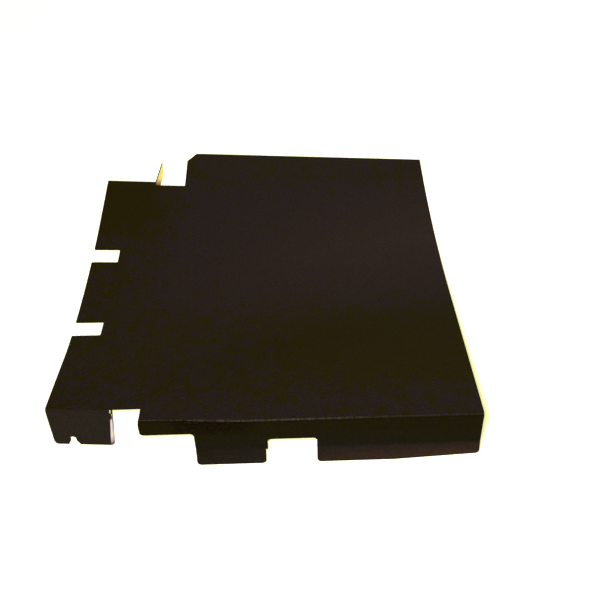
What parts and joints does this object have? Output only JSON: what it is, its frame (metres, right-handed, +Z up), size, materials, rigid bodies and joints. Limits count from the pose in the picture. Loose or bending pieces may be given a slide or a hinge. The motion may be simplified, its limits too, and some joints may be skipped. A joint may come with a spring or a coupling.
{
  "type": "server air baffle shroud",
  "caption": "Thin folded plastic sheet with a notched front flange, side slots and small feet that guides cooling air over parts inside a low server chassis.",
  "frame": {"origin": "middle of the bounding box in plan, on the ground that the sheet lies on", "axes": "+X along the front fold to the right, +Y from the front flange to the rear edge, +Z up"},
  "size_m": [0.2616, 0.3168, 0.0376],
  "materials": {
    "black_sheet": "satin extruded film"
  },
  "bodies": {
    "root": {"baffle_sheet": "black_sheet"}
  },
  "joints": []
}
